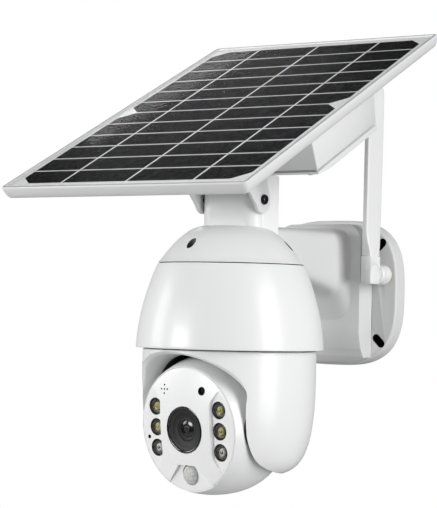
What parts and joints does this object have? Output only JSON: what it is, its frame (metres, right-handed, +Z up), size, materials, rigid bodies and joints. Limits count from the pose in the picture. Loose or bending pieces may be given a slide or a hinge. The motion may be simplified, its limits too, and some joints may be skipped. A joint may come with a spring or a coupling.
{
  "type": "solar-powered pan-tilt security camera",
  "caption": "White dome security camera that pans and tilts under a wall bracket, with a tilting solar panel over a battery box and a folding paddle antenna.",
  "frame": {"origin": "centre of the wall pad's back face, on the wall", "axes": "+Z up, +Y into the wall, +X to the right seen from in front; the camera dome hangs towards -Y"},
  "size_m": [0.189, 0.2934, 0.3275],
  "materials": {
    "shell_white": "satin",
    "bracket_white": "satin",
    "frame_white": "satin",
    "dark_plastic": "matte",
    "gloss_black": "gloss",
    "black_steel": "black oxide",
    "steel": "brushed",
    "brass": "satin",
    "foam": "closed-cell foam",
    "rubber": "matte",
    "solar_cells": "dark wafers with fine pale lines",
    "panel_glass": "clear tempered glass",
    "circuit_board": "solder mask",
    "cell_wrap": "shrink wrap",
    "gear_plastic": "moulded acetal",
    "lamp_yellow": "clear lens over yellow phosphor",
    "lamp_clear": "clear lens",
    "lens_glass": "coated optical glass",
    "frosted": "frosted polyethylene",
    "button_grey": "matte"
  },
  "bodies": {
    "bracket": {"wall_plate": "bracket_white", "wall_pad": "foam", "bracket_arm": "bracket_white", "cap_screw_1": "black_steel", "cap_screw_2": "black_steel", "cap_screw_3": "black_steel", "panel_post": "bracket_white", "hinge_bolt_left": "black_steel", "hinge_bolt_right": "black_steel", "hinge_nut_left": "steel", "hinge_nut_right": "steel", "bell_housing": "shell_white", "pan_base": "dark_plastic", "pan_bearing": "steel", "pan_motor": "steel", "main_board": "circuit_board", "antenna_socket": "brass"},
    "panel": {"panel_frame": "frame_white", "panel_glass": "panel_glass", "cell_laminate": "solar_cells", "battery_box": "frame_white", "battery_lid": "frame_white", "lid_gasket": "rubber", "hinge_yoke": "frame_white", "battery_cell_1": "cell_wrap", "battery_cell_2": "cell_wrap", "battery_cell_3": "cell_wrap", "battery_cell_4": "cell_wrap", "charge_board": "circuit_board"},
    "pan": {"pan_gear": "gear_plastic", "turntable": "dark_plastic", "pan_shell": "shell_white", "tilt_axle": "steel", "tilt_gear": "gear_plastic"},
    "pan_pinion": {"pan_pinion": "brass"},
    "head": {"head_front_shell": "shell_white", "head_rear_shell": "shell_white", "service_cover": "rubber", "tilt_motor": "steel", "face_plate": "shell_white", "led_1": "lamp_yellow", "led_2": "lamp_yellow", "led_3": "lamp_clear", "led_4": "lamp_yellow", "led_5": "lamp_yellow", "led_6": "lamp_clear", "led_board": "circuit_board", "lens_bezel": "gloss_black", "lens_barrel": "dark_plastic", "lens_glass": "lens_glass", "sensor_board": "circuit_board", "pir_lens": "frosted", "light_sensor": "gloss_black", "speaker": "dark_plastic", "control_board": "circuit_board"},
    "tilt_pinion": {"tilt_pinion": "brass"},
    "reset_button": {"reset_button": "button_grey"},
    "antenna_swivel": {"antenna_nut": "shell_white", "antenna_knuckle": "shell_white"},
    "antenna_blade": {"antenna_blade": "shell_white"}
  },
  "joints": [
    {"name": "pan", "type": "hinge", "parent": "bracket", "child": "pan", "pos_m": [0, -0.157, -0.03], "axis": [0, 0, 1], "range_deg": [-167.7, 187.3]},
    {"name": "tilt", "type": "hinge", "parent": "pan", "child": "head", "pos_m": [-0.00125, -0.16429, -0.0916], "axis": [0.9855, -0.1695, 0], "range_deg": [-24, 84]},
    {"name": "panel_tilt", "type": "hinge", "parent": "bracket", "child": "panel", "pos_m": [0, -0.15765, 0.061], "axis": [1, 0, 0], "range_deg": [-7, 30]},
    {"name": "antenna_swivel", "type": "hinge", "parent": "bracket", "child": "antenna_swivel", "pos_m": [0.0455, -0.015, 0.0135], "axis": [0, 1, 0], "range_deg": [-10, 175]},
    {"name": "antenna_fold", "type": "hinge", "parent": "antenna_swivel", "child": "antenna_blade", "pos_m": [0.0455, -0.0382, 0.0135], "axis": [1, 0, 0], "range_deg": [-5.5, 16]},
    {"name": "pan_pinion_spin", "type": "hinge", "parent": "bracket", "child": "pan_pinion", "pos_m": [-0.03269, -0.13812, -0.004], "axis": [0, 0, 1], "range_deg": [-750, 672]},
    {"name": "tilt_pinion_spin", "type": "hinge", "parent": "head", "child": "tilt_pinion", "pos_m": [-0.00025, -0.15848, -0.08087], "axis": [0.9855, -0.1695, 0], "range_deg": [-50, 170]},
    {"name": "reset_press", "type": "slide", "parent": "head", "child": "reset_button", "axis": [-0.0183, -0.1064, 0.9942], "range_m": [0, 0.0006], "stiffness_N_per_m": 600, "springref_m": -0.0005}
  ],
  "couplings": [
    {"joint": "pan_pinion_spin", "follows": "pan", "ratio": -4},
    {"joint": "tilt_pinion_spin", "follows": "tilt", "ratio": 2}
  ]
}
